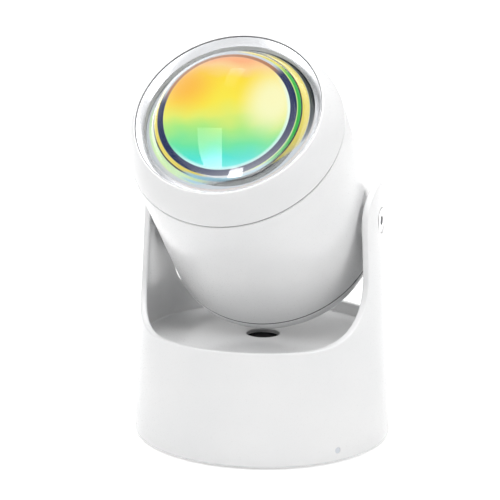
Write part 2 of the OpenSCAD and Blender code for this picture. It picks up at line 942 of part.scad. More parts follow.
module gate_ring() {
    color([0.1, 0.1, 0.1])
        on_head()
            ring(gate_back + gate_t, gate_ring_t, gate_r, gate_r - gate_lip);
}

// The collimator stands a little ahead of the chip. Its cone ends inside its rim
collimator_ahead = 0.3;
collimator_rim_t = 1.2;
collimator_step = 0.8;
collimator_back = star_front + chip_h + collimator_ahead;
collimator_small_r = chip_w * 0.75;

module collimator() {
    cone_len = collimator_len - collimator_rim_t;
    color([0.85, 0.92, 0.95, 0.5])
        on_head()
            translate([0, 0, collimator_back])
                union() {
                    cylinder(h = cone_len, r1 = collimator_small_r, r2 = collimator_r - collimator_step);
                    translate([0, 0, cone_len])
                        cylinder(h = collimator_rim_t, r = collimator_r);
                }
}

// The collimator's holder: its wall, the ledge behind the rim, and the width of its three legs
holder_wall = 1.2;
holder_ledge_t = 1.5;
holder_lip = 0.3;
holder_leg_w = 3;

module collimator_holder() {
    rim_back = collimator_back + collimator_len - collimator_rim_t;
    inner_r = collimator_r + slip;
    color([0.1, 0.1, 0.1])
        on_head()
            difference() {
                union() {
                    ring(rim_back - holder_ledge_t, holder_ledge_t + collimator_rim_t,
                        inner_r + holder_wall, collimator_r - holder_lip);
                    for (a = [0, 120, 240])
                        rotate([0, 0, a])
                            translate([inner_r, -holder_leg_w / 2, sink_face + seat])
                                cube([holder_wall, holder_leg_w, rim_back - sink_face]);
                }
                translate([0, 0, rim_back - seat])
                    cylinder(h = collimator_len, r = inner_r);
            }
}

// The chip's square base and its round yellow face, as shares of the chip's height and width
chip_base_share = 0.7;
chip_face_share = 0.35;

module led_chip() {
    color([1, 0.85, 0.3])
        on_head()
            union() {
                translate([-chip_w / 2, -chip_w / 2, star_front + seat])
                    cube([chip_w, chip_w, chip_h * chip_base_share]);
                translate([0, 0, star_front + seat])
                    cylinder(h = chip_h, r = chip_w * chip_face_share);
            }
}

// The two small screws of the lamp board, and their distance from its middle
led_screw_c = 7.4;
led_thread_r = 0.9;
led_head_r = 1.6;
led_head_t = 0.9;
led_thread_len = 3;

module led_board() {
    color([0.9, 0.9, 0.88])
        on_head()
            difference() {
                translate([0, 0, sink_face + seat])
                    cylinder(h = star_t - seat, r = star_r);
                for (side = [-1, 1])
                    translate([side * led_screw_c, 0, sink_face - over])
                        cylinder(h = star_t + 2 * over, r = led_thread_r + through);
            }
}

module led_screws() {
    color("silver")
        on_head()
            for (side = [-1, 1])
                translate([side * led_screw_c, 0, star_front + seat])
                    union() {
                        cylinder(h = led_head_t, r = led_head_r);
                        translate([0, 0, -led_thread_len])
                            cylinder(h = led_thread_len + merge, r = led_thread_r);
                    }
}

// Places of the fins across the sink. The tilt axis, where the wires run, lies between two of them
fin_reach = ceil(sink_r / sink_pitch);
fin_places = [for (i = [-fin_reach : fin_reach]) let (y = (i + 1 / 2) * sink_pitch - head_offset)
    if (abs(y) < sink_r - sink_fin_t) y];

module heat_sink() {
    color([0.75, 0.76, 0.78])
        on_head()
            difference() {
                union() {
                    translate([0, 0, sink_back])
                        cylinder(h = sink_plate_t, r = sink_plate_r);
                    intersection() {
                        translate([0, 0, sink_back - sink_fin_len])
                            cylinder(h = sink_fin_len + merge, r = sink_r);
                        for (y = fin_places)
                            translate([-sink_r, y - sink_fin_t / 2, sink_back - sink_fin_len - over])
                                cube([2 * sink_r, sink_fin_t, sink_fin_len + 2 * over]);
                    }
                }
                for (side = [-1, 1])
                    translate([side * led_screw_c, 0, sink_face - led_thread_len])
                        cylinder(h = led_thread_len + over, r = led_thread_r);
                at_sink_screws()
                    translate([0, 0, sink_back - over])
                        cylinder(h = sink_plate_t + 2 * over, r = small_thread_r + through);
                translate([-wire_hole_x, -head_offset, sink_back - over])
                    cylinder(h = sink_plate_t + 2 * over, r = wire_hole_r);
            }
}

// The wires' hole in the heat sink's plate, and the distance between the wires there
wire_hole_x = 21;
wire_hole_r = 1.5;
head_wire_pitch = 0.9;
// How far the wires end inside the hollow pivot's mouth, and how far they reach onto the lamp board
head_wire_short = 1;
head_wire_pad = 0.7;

module heat_sink_screws() {
    color("silver")
        on_head()
            at_sink_screws()
                translate([0, 0, sink_back - seat])
                    rotate([180, 0, 0])
                        small_screw();
}

module rear_cap() {
    color("white")
        on_head()
            translate([0, 0, -barrel_rear - seam_gap])
                rotate_extrude()
                    difference() {
                        union() {
                            cap_profile(0);
                            translate([cap_spigot_r - cap_spigot_t, -cap_shelf_t])
                                square([cap_spigot_t, cap_spigot_len + seam_gap + cap_shelf_t]);
                        }
                        difference() {
                            cap_profile(cap_wall);
                            translate([cap_spigot_r - cap_spigot_t, -cap_shelf_t])
                                square([barrel_rear_r, cap_shelf_t + cap_spigot_len + over]);
                        }
                    }
}

// Half of the cap's outline, an arc from the seam to the flat middle of the dome
module cap_profile(inset) {
    flat_r = barrel_rear_r * cap_flat;
    drop = cap_depth - seam_gap;
    run = barrel_rear_r - flat_r;
    intersection() {
        translate([0, -drop + inset])
            square([barrel_rear_r - inset, drop - inset + (inset > 0 ? over : 0)]);
        union() {
            translate([0, -drop + inset])
                square([flat_r, drop]);
            translate([flat_r, 0])
                scale([(run - inset), (drop - inset)])
                    circle(1);
            if (inset > 0)
                square([barrel_rear_r - inset, over]);
        }
    }
}

// The pivot screw's hexagon recess, and the shares of its head and of the insert it takes up
pivot_recess_w = 3;
pivot_recess_from = 1 / 3;
thread_share = 0.8;

module pivot_screw() {
    thread_len = insert_len * thread_share;
    color("silver")
        on_pivot()
            difference() {
                union() {
                    rod_x(screw_seat_x + seat, screw_head_t, screw_head_r);
                    rod_x(shoulder_end_x + seat, screw_seat_x - shoulder_end_x, shoulder_r);
                    rod_x(shoulder_end_x - thread_len, thread_len + merge, thread_r);
                }
                translate([screw_seat_x + screw_head_t * pivot_recess_from, 0, 0])
                    rotate([0, 90, 0])
                        cylinder(h = screw_head_t, r = pivot_recess_w / 2 / cos(30), $fn = 6);
            }
}

module pivot_insert() {
    color([0.8, 0.65, 0.3])
        on_pivot()
            difference() {
                rod_x(shoulder_end_x - insert_len, insert_len, insert_r);
                rod_x(shoulder_end_x - insert_len - over, insert_len + 2 * over, thread_r + seat);
            }
}

module pivot_stub() {
    color([0.75, 0.75, 0.77])
        on_pivot()
            mirror([1, 0, 0])
                difference() {
                    union() {
                        rod_x(stub_in_x, stub_out_x - seat - stub_in_x, stub_r);
                        rod_x(barrel_pad_x - collar_t + seat, collar_t - seat, collar_r);
                    }
                    rod_x(0, base_r, stub_bore_r);
                }
}

module stub_nut() {
    color([0.75, 0.75, 0.77])
        on_pivot()
            mirror([1, 0, 0])
                difference() {
                    translate([barrel_boss_x - nut_t - seat, 0, 0])
                        rotate([0, 90, 0])
                            cylinder(h = nut_t, r = nut_w / 2 / cos(30), $fn = 6);
                    rod_x(0, base_r, stub_r + seat);
                }
}

// Two wires from the hollow pivot, between two fins and through the heat sink's plate to the lamp board
module head_wires() {
    outer_x = -stub_out_x + head_wire_short;
    board_wire_z = star_front + wire_d / 2 + seat;
    board_end_x = -star_r + head_wire_pad;
    for (side = [-1, 1])
        color(side < 0 ? "red" : [0.1, 0.1, 0.1])
            on_pivot()
                translate([0, side * head_wire_pitch / 2, 0])
                    union() {
                        rod_x(outer_x, -wire_hole_x - outer_x, wire_d / 2);
                        translate([-wire_hole_x, 0, 0]) {
                            wire_bend();
                            cylinder(h = board_wire_z, r = wire_d / 2);
                            translate([0, 0, board_wire_z]) {
                                wire_bend();
                                rod_x(0, board_end_x + wire_hole_x, wire_d / 2);
                            }
                        }
                    }
}

base_housing();
sensor_window();
window_gasket();
status_light();
status_led();
bottom_cover();
cover_screws();
rubber_pad();
ballast();
ballast_screws();
control_board();
board_parts();
board_screws();
ir_receiver();
power_inlet();
wire_strip();
base_wires();
friction_washers();
head_barrel();
front_bezel();
lens();
lens_gasket();
lens_retainer();
optical_tube();
colour_filter();
gate_holder();
gate_disc();
gate_ring();
collimator();
collimator_holder();
led_chip();
led_board();
led_screws();
heat_sink();
heat_sink_screws();
rear_cap();
pivot_screw();
pivot_insert();
pivot_stub();
stub_nut();
head_wires();
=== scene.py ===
"""Sunset projection lamp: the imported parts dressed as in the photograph, on a pale floor."""
import json
import math

import bmesh
import bpy
from mathutils import Matrix, Vector


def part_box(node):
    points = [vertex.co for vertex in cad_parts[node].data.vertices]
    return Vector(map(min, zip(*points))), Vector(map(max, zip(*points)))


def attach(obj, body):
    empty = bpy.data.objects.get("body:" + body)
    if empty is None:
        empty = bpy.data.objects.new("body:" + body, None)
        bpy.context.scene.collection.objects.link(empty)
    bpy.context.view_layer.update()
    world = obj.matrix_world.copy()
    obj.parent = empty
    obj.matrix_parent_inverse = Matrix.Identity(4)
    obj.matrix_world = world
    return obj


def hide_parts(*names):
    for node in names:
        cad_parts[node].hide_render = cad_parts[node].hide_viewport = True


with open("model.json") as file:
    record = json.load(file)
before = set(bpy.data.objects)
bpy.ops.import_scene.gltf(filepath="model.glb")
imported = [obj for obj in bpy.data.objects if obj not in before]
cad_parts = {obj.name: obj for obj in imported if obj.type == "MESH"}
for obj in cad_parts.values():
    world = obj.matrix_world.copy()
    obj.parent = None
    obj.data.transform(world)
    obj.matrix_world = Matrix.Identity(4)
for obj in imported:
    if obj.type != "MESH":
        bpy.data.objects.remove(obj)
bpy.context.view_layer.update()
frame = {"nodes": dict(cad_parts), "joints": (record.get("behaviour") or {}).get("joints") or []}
nodes = frame["nodes"]

MM = 0.001

# ---------------------------------------------------------------------------------------------
# Measures taken from the frame
# ---------------------------------------------------------------------------------------------

tilt_joint = frame["joints"][0]
PIVOT_Z = tilt_joint["pos_m"][2]
HEAD_TILT = -math.radians(tilt_joint["range_deg"][0])
HEAD_OFFSET = 1.4 * MM       # from the pivot to the head's own axis

HEAD_PLACE = (Matrix.Translation((0, 0, PIVOT_Z))
              @ Matrix.Rotation(math.pi / 2 - HEAD_TILT, 4, "X")
              @ Matrix.Translation((0, HEAD_OFFSET, 0)))
PIVOT_PLACE = Matrix.Translation((0, 0, PIVOT_Z))


def turned(node):
    """A head node's points as (radius, station) in the head's own frame."""
    back = HEAD_PLACE.inverted()
    points = [back @ v.co for v in nodes[node].data.vertices]
    return [(math.hypot(p.x, p.y), p.z) for p in points]


def span(node):
    """A head node's lowest and highest station."""
    stations = [s for r, s in turned(node)]
    return min(stations), max(stations)


def radius_at(node, station, reach=0.05 * MM):
    """The largest radius of a head node at a station."""
    return max(r for r, s in turned(node) if abs(s - station) < reach)


# The head's shells
BARREL_REAR, BARREL_FRONT = span("head_barrel")
BARREL_REAR_R = radius_at("head_barrel", BARREL_REAR)
BARREL_FRONT_R = radius_at("head_barrel", BARREL_FRONT)
BEZEL_BACK, BEZEL_FRONT = span("front_bezel")
BEZEL_EDGE_R = radius_at("front_bezel", BEZEL_FRONT)
CAP_REAR = span("rear_cap")[0]
LENS_BACK, LENS_APEX = span("lens")
LENS_R = radius_at("lens", LENS_BACK)

# The base
HOUSING_LOW, HOUSING_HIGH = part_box("base_housing")
BASE_R = HOUSING_HIGH.x
EAR_TOP = HOUSING_HIGH.z
FOOT_STAND = HOUSING_LOW.z
EAR_HALF_W = EAR_TOP - PIVOT_Z

# ---------------------------------------------------------------------------------------------
# Sizes that the frame's boxes don't show, in metres
# ---------------------------------------------------------------------------------------------

BASE_DRAFT = math.radians(2.7)
BASE_WALL = 2.2 * MM
RIM_H = 39.2 * MM
DECK_Z = 34.6 * MM
DECK_T = 2.0 * MM
EAR_SWEEP_R = 22.0 * MM
WINDOW_R = 5.8 * MM
BARREL_WALL = 2.0 * MM
BEZEL_BULGE = 0.6 * MM
BEVEL_W = 3.1 * MM
BEVEL_DEPTH = 2.2 * MM
LENS_SET_BACK = 2.4 * MM
SEAM_GAP = 0.3 * MM
CAP_FLAT = 0.22
CAP_WALL = 2.0 * MM

EDGE_R = 0.55 * MM       # rounding of the housing's visible edges
SEAM_R = 0.35 * MM       # rounding of the shells' edges at the seams

# ---------------------------------------------------------------------------------------------
# Small tools for meshes
# ---------------------------------------------------------------------------------------------


def rounded(points, radius, steps=4):
    """A closed outline with its corners rounded. Each point is (r, s) or (r, s, own radius)."""
    outline = []
    count = len(points)
    for i, point in enumerate(points):
        own = point[2] if len(point) > 2 else radius
        here = Vector(point[:2])
        to_last = Vector(points[i - 1][:2]) - here
        to_next = Vector(points[(i + 1) % count][:2]) - here
        room = min(to_last.length, to_next.length) / 2
        angle = to_last.angle(to_next)
        if own <= 0 or angle > math.radians(177):
            outline.append(here)
            continue
        cut = min(own / math.tan(angle / 2), room * 0.98)
        real = cut * math.tan(angle / 2)
        start = here + to_last.normalized() * cut
        end = here + to_next.normalized() * cut
        middle = (to_last.normalized() + to_next.normalized()).normalized()
        centre = here + middle * (real / math.sin(angle / 2))
        first, last = start - centre, end - centre
        sweep = math.atan2(first.x * last.y - first.y * last.x, first.dot(last))
        for k in range(steps + 1):
            c, s = math.cos(sweep * k / steps), math.sin(sweep * k / steps)
            outline.append(centre + Vector((first.x * c - first.y * s, first.x * s + first.y * c)))
    return outline


def finish_mesh(name, bm, material, body, sharp=40):
    """Turns a bmesh into a piece with smooth faces and sharp edges, riding on a body."""
    bmesh.ops.remove_doubles(bm, verts=bm.verts, dist=1e-7)
    bmesh.ops.recalc_face_normals(bm, faces=bm.faces)
    limit = math.radians(sharp)
    for face in bm.faces:
        face.smooth = True
    for edge in bm.edges:
        edge.smooth = not (edge.is_manifold and edge.calc_face_angle(0) > limit)
    mesh = bpy.data.meshes.new(name)
    bm.to_mesh(mesh)
    bm.free()
    piece = bpy.data.objects.new(name, mesh)
    bpy.context.scene.collection.objects.link(piece)
    materials = material if isinstance(material, (list, tuple)) else [material]
    for entry in materials:
        mesh.materials.append(entry)
    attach(piece, body)
    return piece


def lathe_into(bm, outline, place, segments=160, closed=True):
    """Adds a turned shape about its own Z axis. The outline is a list of (r, s)."""
    rings = []
    for r, s in outline:
        if r < 1e-7:
            rings.append([bm.verts.new(place @ Vector((0, 0, s)))])
            continue
        ring = []
        for k in range(segments):
            a = 2 * math.pi * k / segments
            ring.append(bm.verts.new(place @ Vector((r * math.cos(a), r * math.sin(a), s))))
        rings.append(ring)
    pairs = list(zip(rings, rings[1:]))
    if closed:
        pairs.append((rings[-1], rings[0]))
    faces = []
    for low, high in pairs:
        if len(low) == 1 and len(high) == 1:
            continue
        for k in range(segments):
            n = (k + 1) % segments
            if len(low) == 1:
                faces.append(bm.faces.new((low[0], high[k], high[n])))
            elif len(high) == 1:
                faces.append(bm.faces.new((low[k], high[0], low[n])))
            else:
                faces.append(bm.faces.new((low[k], high[k], high[n], low[n])))
    return faces


def lathe(name, outline, place, material, body, segments=160, closed=True, sharp=40):
    bm = bmesh.new()
    lathe_into(bm, outline, place, segments, closed)
    return finish_mesh(name, bm, material, body, sharp)


# ---------------------------------------------------------------------------------------------
# Materials
# ---------------------------------------------------------------------------------------------


class Shade:
    """A node-based material that is put together step by step."""

    def __init__(self, name):
        self.material = bpy.data.materials.new(name)
        self.material.use_nodes = True
        self.tree = self.material.node_tree
        self.shader = self.tree.nodes["Principled BSDF"]
        self.coord = self.tree.nodes.new("ShaderNodeTexCoord")

    def node(self, kind, **values):
        made = self.tree.nodes.new(kind)
        for key, value in values.items():
            setattr(made, key, value)
        return made

    def link(self, start, end):
        self.tree.links.new(start, end)

    def set(self, **values):
        for key, value in values.items():
            self.shader.inputs[key.replace("_", " ")].default_value = value
        return self

    def noise(self, scale, detail=3, roughness=0.5):
        made = self.node("ShaderNodeTexNoise")
        made.inputs["Scale"].default_value = scale
        made.inputs["Detail"].default_value = detail
        made.inputs["Roughness"].default_value = roughness
        self.link(self.coord.outputs["Object"], made.inputs["Vector"])
        return made.outputs["Fac"]

    def ramp(self, factor, stops):
        made = self.node("ShaderNodeValToRGB")
        line = made.color_ramp
        while len(line.elements) < len(stops):
            line.elements.new(0.5)
        for element, (place, colour) in zip(line.elements, stops):
            element.position = place
            element.color = (*colour, 1)
        self.link(factor, made.inputs["Fac"])
        return made.outputs["Color"]

    def range(self, factor, low, high):
        made = self.node("ShaderNodeMapRange")
        made.inputs["To Min"].default_value = low
        made.inputs["To Max"].default_value = high
        self.link(factor, made.inputs["Value"])
        return made.outputs["Result"]

    def bump(self, height, strength, distance):
        made = self.node("ShaderNodeBump")
        made.inputs["Strength"].default_value = strength
        made.inputs["Distance"].default_value = distance
        self.link(height, made.inputs["Height"])
        self.link(made.outputs["Normal"], self.shader.inputs["Normal"])
        return self


def plastic(name, low, high, rough_low, rough_high, grain=2600, bump=0.02, cloud=35):
    """Moulded plastic: a faint cloud in its colour, a fine grain in its gloss and its surface."""
    shade = Shade(name)
    shade.link(shade.ramp(shade.noise(cloud), [(0.3, low), (0.7, high)]),
               shade.shader.inputs["Base Color"])
    fine = shade.noise(grain, detail=2)
    shade.link(shade.range(fine, rough_low, rough_high), shade.shader.inputs["Roughness"])
    shade.bump(fine, bump, 0.05 * MM)
    return shade


def metal(name, low, high, rough_low, rough_high, grain=900, bump=0.03):
    shade = plastic(name, low, high, rough_low, rough_high, grain, bump, cloud=60)
    shade.set(Metallic=1.0)
    return shade


shell = plastic("white_shell", (0.80, 0.805, 0.81), (0.84, 0.84, 0.84), 0.24, 0.34)
shell.set(IOR=1.46)
shell.shader.inputs["Coat Weight"].default_value = 0.35
shell.shader.inputs["Coat Roughness"].default_value = 0.12
WHITE = shell.material

cover_grey = plastic("grey_cover", (0.70, 0.70, 0.71), (0.76, 0.76, 0.76), 0.5, 0.65, bump=0.06)
black_gloss = plastic("dark_window", (0.003, 0.003, 0.004), (0.006, 0.005, 0.007), 0.35, 0.45)
black_gloss.set(IOR=1.05)
black_matt = plastic("black_inner", (0.012, 0.012, 0.013), (0.022, 0.022, 0.022), 0.6, 0.8, bump=0.08)
rubber = plastic("black_rubber", (0.018, 0.018, 0.019), (0.032, 0.032, 0.033), 0.75, 0.9, bump=0.2)
foam = plastic("foam_black", (0.02, 0.02, 0.02), (0.035, 0.035, 0.035), 0.85, 0.95, grain=1500, bump=0.4)
washer = plastic("washer_dark", (0.05, 0.05, 0.05), (0.08, 0.08, 0.08), 0.4, 0.55)
board = plastic("board_green", (0.012, 0.10, 0.045), (0.018, 0.14, 0.06), 0.35, 0.5, cloud=400)
chips = plastic("component_black", (0.02, 0.02, 0.022), (0.04, 0.04, 0.04), 0.45, 0.6)
receiver = plastic("receiver_black", (0.01, 0.01, 0.014), (0.02, 0.02, 0.03), 0.15, 0.25)
wires = plastic("wire_cover", (0.30, 0.02, 0.015), (0.38, 0.03, 0.02), 0.35, 0.5)
lamp_body = plastic("lamp_body", (0.80, 0.80, 0.74), (0.86, 0.86, 0.80), 0.2, 0.3)
clear = plastic("clear_optic", (0.80, 0.86, 0.90), (0.86, 0.91, 0.94), 0.05, 0.1)
clear.shader.inputs["Transmission Weight"].default_value = 0.85
guide = plastic("light_guide", (0.66, 0.69, 0.74), (0.76, 0.79, 0.84), 0.12, 0.2)
guide.shader.inputs["Transmission Weight"].default_value = 0.1
phosphor = plastic("lamp_chip", (0.85, 0.62, 0.10), (0.90, 0.70, 0.16), 0.4, 0.5)

chrome = metal("pivot_chrome", (0.50, 0.50, 0.51), (0.62, 0.62, 0.63), 0.10, 0.18)
steel = metal("screw_steel", (0.50, 0.50, 0.51), (0.60, 0.60, 0.61), 0.25, 0.36)
plain_steel = metal("pivot_steel", (0.45, 0.45, 0.46), (0.56, 0.56, 0.57), 0.3, 0.42)
zinc = metal("ballast_steel", (0.38, 0.39, 0.41), (0.48, 0.49, 0.50), 0.35, 0.5, grain=300)
inlet = metal("inlet_metal", (0.52, 0.52, 0.54), (0.62, 0.62, 0.63), 0.2, 0.3)
brass = metal("insert_brass", (0.60, 0.42, 0.14), (0.70, 0.50, 0.18), 0.22, 0.32)
aluminium = metal("sink_aluminium", (0.58, 0.59, 0.61), (0.68, 0.69, 0.70), 0.38, 0.52, grain=1400, bump=0.1)
lamp_plate = metal("lamp_board", (0.70, 0.70, 0.69), (0.78, 0.78, 0.77), 0.3, 0.42)
gate_black = metal("gate_metal", (0.02, 0.02, 0.022), (0.035, 0.035, 0.038), 0.4, 0.55)

CARRIED_OVER = {
    "sensor_window": black_gloss, "window_gasket": foam, "status_light": guide,
    "status_led": lamp_body, "bottom_cover": cover_grey, "cover_screws": steel,
    "rubber_pad": rubber, "ballast": zinc, "ballast_screws": steel, "control_board": board,
    "board_parts": chips, "board_screws": steel, "ir_receiver": receiver, "power_inlet": inlet,
    "wire_strip": shell, "base_wires": wires, "friction_washers": washer,
    "lens_gasket": rubber, "lens_retainer": black_matt, "optical_tube": black_matt,
    "gate_holder": black_matt, "gate_disc": gate_black, "gate_ring": black_matt,
    "collimator": clear, "collimator_holder": black_matt, "led_chip": phosphor,
    "led_board": lamp_plate, "led_screws": steel, "heat_sink": aluminium,
    "heat_sink_screws": steel, "pivot_insert": brass, "pivot_stub": plain_steel,
    "stub_nut": plain_steel, "head_wires": wires,
    "head_barrel": shell, "front_bezel": shell, "rear_cap": shell, "base_housing": shell,
    "lens": shell, "colour_filter": shell, "pivot_screw": chrome,
}
for name, shade in CARRIED_OVER.items():
    slots = nodes[name].material_slots
    for entry in slots:
        entry.material = shade.material

# ---------------------------------------------------------------------------------------------
# The housing: a drafted wall with a rim and two ears, and a recessed deck
# ---------------------------------------------------------------------------------------------


def outer_r(z):
    return BASE_R - (z - FOOT_STAND) * math.tan(BASE_DRAFT)


def inner_r(z):
    return outer_r(z) - BASE_WALL


SWEEP_Y = EAR_HALF_W + EAR_SWEEP_R
SWEEP_Z = RIM_H + EAR_SWEEP_R


def ear_outline():
    """One side of the ear's outline from the rim up to the top: ((y, z), normal (y, z))."""
    steps_sweep, steps_side, steps_top = 26, 8, 22
    for k in range(steps_sweep + 1):
        a = math.pi / 2 * k / steps_sweep
        y = SWEEP_Y - EAR_SWEEP_R * math.sin(a)
        z = SWEEP_Z - EAR_SWEEP_R * math.cos(a)
        yield (y, z), (math.sin(a), math.cos(a))
    for k in range(1, steps_side):
        yield (EAR_HALF_W, SWEEP_Z + (PIVOT_Z - SWEEP_Z) * k / steps_side), (1.0, 0.0)
    for k in range(steps_top + 1):
        a = math.pi / 2 * k / steps_top
        yield ((EAR_HALF_W * math.cos(a), PIVOT_Z + EAR_HALF_W * math.sin(a)),
               (math.cos(a), math.sin(a)))


def wall_point(y, z, radius):
    return Vector((math.sqrt(max(radius(z) ** 2 - y * y, 0)), y, z))


def wall_normal(point, inward):
    flat = Vector((point.x, point.y, 0)).normalized()
    out = (flat * math.cos(BASE_DRAFT) + Vector((0, 0, math.sin(BASE_DRAFT)))).normalized()
    return -out if inward else out


def edge_strip(outer, inner, face_normal, radius=EDGE_R, steps=4):
    """The rounded section of a wall's edge, from its outer face round to its inner one."""
    section = []
    for corner, inward in ((outer, False), (inner, True)):
        n1 = wall_normal(corner, inward)
        n2 = face_normal
        centre = corner - (n1 + n2) * (radius / (1 + n1.dot(n2)))
        arc = [centre + n1.slerp(n2, k / steps) * radius for k in range(steps + 1)]
        section.append(arc)
    return section[0] + section[1][::-1]


EAR_COLUMNS = 48        # across an ear
RIM_COLUMNS = 40        # along the rim between two ears
FOOT_R = 0.9 * MM       # rounding of the housing's lower edge
CORNER_R = 0.5 * MM     # fillet between wall and deck
HOLE_R = 0.3 * MM       # rounding of the window's hole
DECK_RINGS = (34 * MM, 26 * MM, 18 * MM, 10 * MM)


def bridge(bm, rows, closed):
    """Joins rows of points, which all have the same count, with faces."""
    made = [[bm.verts.new(point) for point in row] for row in rows]
    for low, high in zip(made, made[1:]):
        for k in range(len(low) if closed else len(low) - 1):
            n = (k + 1) % len(low)
            bm.faces.new((low[k], low[n], high[n], high[k]))


def ring_angles(edge):
    """Directions of the ring's columns, which meet those of the ears and of the rim's edge."""
    edge_a = math.atan2(abs(edge.y), edge.x)
    real = math.hypot(edge.x, edge.y)
    across = [math.asin(abs(edge.y) * (2 * k / EAR_COLUMNS - 1) / real) for k in range(EAR_COLUMNS)]
    along = [edge_a + (math.pi - 2 * edge_a) * k / RIM_COLUMNS for k in range(RIM_COLUMNS)]
    return (across + along + [math.pi + a for a in across] + [math.pi + a for a in along])


def ring_at(r, z, angles):
    return [Vector((r * math.cos(a), r * math.sin(a), z)) for a in angles]


def housing_mesh():
    bm = bmesh.new()
    sections = [edge_strip(wall_point(y, z, outer_r), wall_point(y, z, inner_r), Vector((0, ny, nz)))
                for (y, z), (ny, nz) in ear_outline()]

    for sx in (1, -1):
        # the rounded edges on both sides of an ear
        for sy in (1, -1):
            bridge(bm, [[Vector((p.x * sx, p.y * sy, p.z)) for p in s] for s in sections], False)
        # the ear's outer and inner face, row by row between its two edges
        for index in (0, -1):
            rows = []
            for section in sections:
                edge = section[index]
                real = math.hypot(edge.x, edge.y)
                ys = [abs(edge.y) * (2 * k / EAR_COLUMNS - 1) for k in range(EAR_COLUMNS + 1)]
                rows.append([Vector((sx * math.sqrt(max(real ** 2 - y * y, 0)), y, edge.z)) for y in ys])
            bridge(bm, rows, False)

    # the rim's edge in front and behind, from one ear's sweep to the other's
    first = sections[0]
    for sy in (1, -1):
        rows = []
        for k in range(RIM_COLUMNS + 1):
            row = []
            for p in first:
                start = math.atan2(abs(p.y), p.x)
                a = start + (math.pi - 2 * start) * k / RIM_COLUMNS
                r = math.hypot(p.x, p.y)
                row.append(Vector((r * math.cos(a), sy * r * math.sin(a), p.z)))
            rows.append(row)
        bridge(bm, rows, False)

    # the outer wall below the rim, with its rounded lower edge
    outside = ring_angles(first[0])
    levels = [ring_at(inner_r(FOOT_STAND), FOOT_STAND, outside)]
    for k in range(6):
        a = math.pi / 2 * k / 5
        z = FOOT_STAND + FOOT_R * (1 - math.cos(a))
        levels.append(ring_at(outer_r(z) - FOOT_R * (1 - math.sin(a)), z, outside))
    low, high = FOOT_STAND + FOOT_R, first[0].z
    levels += [ring_at(outer_r(low + (high - low) * k / 10), low + (high - low) * k / 10, outside)
               for k in range(1, 11)]
    bridge(bm, levels, True)

    # the wall above the deck, the deck with its hole, and the cavity under it
    inside = ring_angles(first[-1])
    levels = [ring_at(inner_r(first[-1].z), first[-1].z, inside)]
    for k in range(6):
        a = math.pi / 2 * k / 5
        levels.append(ring_at(inner_r(DECK_Z) - CORNER_R * (1 - math.cos(a)),
                              DECK_Z + CORNER_R * (1 - math.sin(a)), inside))
    levels += [ring_at(r, DECK_Z, inside) for r in DECK_RINGS]
    for k in range(5):
        a = math.pi / 2 * k / 4
        levels.append(ring_at(WINDOW_R + HOLE_R * (1 - math.sin(a)),
                              DECK_Z - HOLE_R * (1 - math.cos(a)), inside))
    under = DECK_Z - DECK_T
    levels += [ring_at(WINDOW_R, under, inside), ring_at(inner_r(under), under, inside)]
    bridge(bm, levels, True)
    cavity = [ring_at(inner_r(under), under, inside),
              ring_at(inner_r(FOOT_STAND), FOOT_STAND, outside)]
    bridge(bm, cavity, True)
    return bm


def cut(piece, cutter_bm):
    """Cuts a closed shape out of a piece."""
    bmesh.ops.recalc_face_normals(cutter_bm, faces=cutter_bm.faces)
    mesh = bpy.data.meshes.new("cutter")
    cutter_bm.to_mesh(mesh)
    cutter_bm.free()
    cutter = bpy.data.objects.new("cutter", mesh)
    bpy.context.scene.collection.objects.link(cutter)
    boolean = piece.modifiers.new("cut", "BOOLEAN")
    boolean.operation = "DIFFERENCE"
    boolean.solver = "EXACT"
    boolean.object = cutter
    result = bpy.data.meshes.new_from_object(
        piece.evaluated_get(bpy.context.evaluated_depsgraph_get()))
    piece.modifiers.remove(boolean)
    old = piece.data
    piece.data = result
    bpy.data.meshes.remove(old)
    bpy.data.objects.remove(cutter)
    bpy.data.meshes.remove(mesh)


def add_rounded_slot(bm, width, height, place, depth, steps=12):
    """A slot with round ends, drawn in the place's own XY and pushed along its Z."""
    outline = []
    for side in (1, -1):
        for k in range(steps + 1):
            a = math.pi * (k / steps - 0.5)
            outline.append((side * ((width - height) / 2 + height / 2 * math.cos(a)),
                            side * height / 2 * math.sin(a)))
    rows = [[place @ Vector((x, y, z)) for x, y in outline] for z in (0, depth)]
    bridge(bm, rows, True)
    bm.verts.ensure_lookup_table()
    count = len(outline)
    made = bm.verts[-2 * count:]
    bm.faces.new(made[:count])
    bm.faces.new(made[count:])


EAR_OUT_X = outer_r(PIVOT_Z)
EAR_IN_X = inner_r(PIVOT_Z)
EAR_PAD_X = EAR_IN_X - 1.1 * MM
PAD_R = 7.0 * MM
SCREW_SEAT_X = EAR_OUT_X - 1.3 * MM
SCREW_BORE_R = 4.45 * MM
ALONG_X = Matrix.Rotation(math.pi / 2, 4, "Y")
STATUS_LOW, STATUS_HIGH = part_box("status_light")
STATUS_Z = (STATUS_LOW.z + STATUS_HIGH.z) / 2
STATUS_OUT = Vector(((STATUS_LOW.x + STATUS_HIGH.x) / 2, (STATUS_LOW.y + STATUS_HIGH.y) / 2, 0))
STATUS_R = 1.07 * MM
INLET_LOW, INLET_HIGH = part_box("power_inlet")
INLET_Z = (INLET_LOW.z + INLET_HIGH.z) / 2
FAR = 10 * MM

housing_bm = housing_mesh()
bmesh.ops.remove_doubles(housing_bm, verts=housing_bm.verts, dist=0.01 * MM)
bmesh.ops.dissolve_degenerate(housing_bm, edges=housing_bm.edges, dist=0.005 * MM)
bmesh.ops.recalc_face_normals(housing_bm, faces=housing_bm.faces)
housing_mesh_data = bpy.data.meshes.new("housing_shell")
housing_bm.to_mesh(housing_mesh_data)
housing_bm.free()
housing = bpy.data.objects.new("housing_shell", housing_mesh_data)
bpy.context.scene.collection.objects.link(housing)

